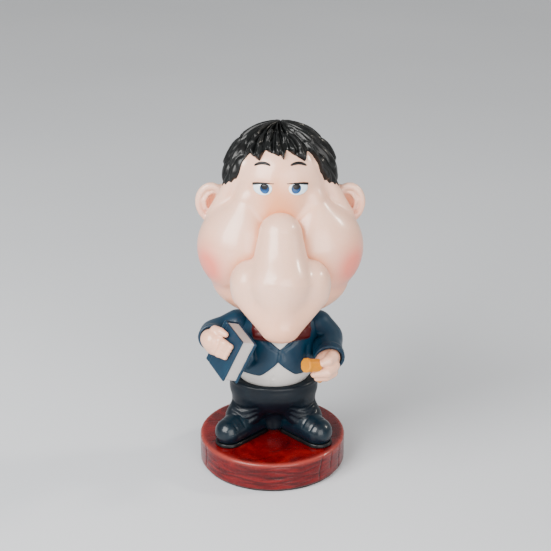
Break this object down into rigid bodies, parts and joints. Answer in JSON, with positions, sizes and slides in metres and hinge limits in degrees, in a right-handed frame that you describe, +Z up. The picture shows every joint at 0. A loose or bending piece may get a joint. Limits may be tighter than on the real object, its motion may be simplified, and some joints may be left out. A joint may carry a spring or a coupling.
{
  "type": "eyeglasses display stand",
  "caption": "Cartoon man in a suit with an oversized nose on a round plinth; spectacles rest astride the nose.",
  "frame": {"origin": "centre of the plinth's underside, on the surface that the stand rests on", "axes": "+Z up, -Y the way the figure faces, +X towards the figure's left hand"},
  "size_m": [0.067, 0.0727, 0.144],
  "materials": {
    "skin_paint": "glossy",
    "hair_paint": "glossy",
    "navy_paint": "glossy",
    "trouser_paint": "glossy",
    "white_paint": "satin",
    "wine_paint": "glossy",
    "plinth_paint": "glossy",
    "pad_rubber": "matte",
    "yellow_paint": "glossy",
    "iris_paint": "glossy"
  },
  "bodies": {
    "root": {"base_disc": "plinth_paint", "base_pad": "pad_rubber", "book_back_cover": "navy_paint", "book_front_cover": "navy_paint", "book_pages": "white_paint", "bow_tie": "wine_paint", "ear_left": "skin_paint", "ear_right": "skin_paint", "eye_left": "white_paint", "eye_right": "white_paint", "eyebrow_left": "hair_paint", "eyebrow_right": "hair_paint", "gavel_band": "yellow_paint", "gavel_handle": "yellow_paint", "gavel_head": "yellow_paint", "hair": "hair_paint", "hand_left": "skin_paint", "hand_right": "skin_paint", "head": "skin_paint", "iris_left": "iris_paint", "iris_right": "iris_paint", "jacket": "navy_paint", "lid_left": "hair_paint", "lid_right": "hair_paint", "nose": "skin_paint", "shirt": "white_paint", "shoe_left": "trouser_paint", "shoe_right": "trouser_paint", "sleeve_left": "navy_paint", "sleeve_right": "navy_paint", "sole_left": "pad_rubber", "sole_right": "pad_rubber", "trousers": "trouser_paint"}
  },
  "joints": []
}
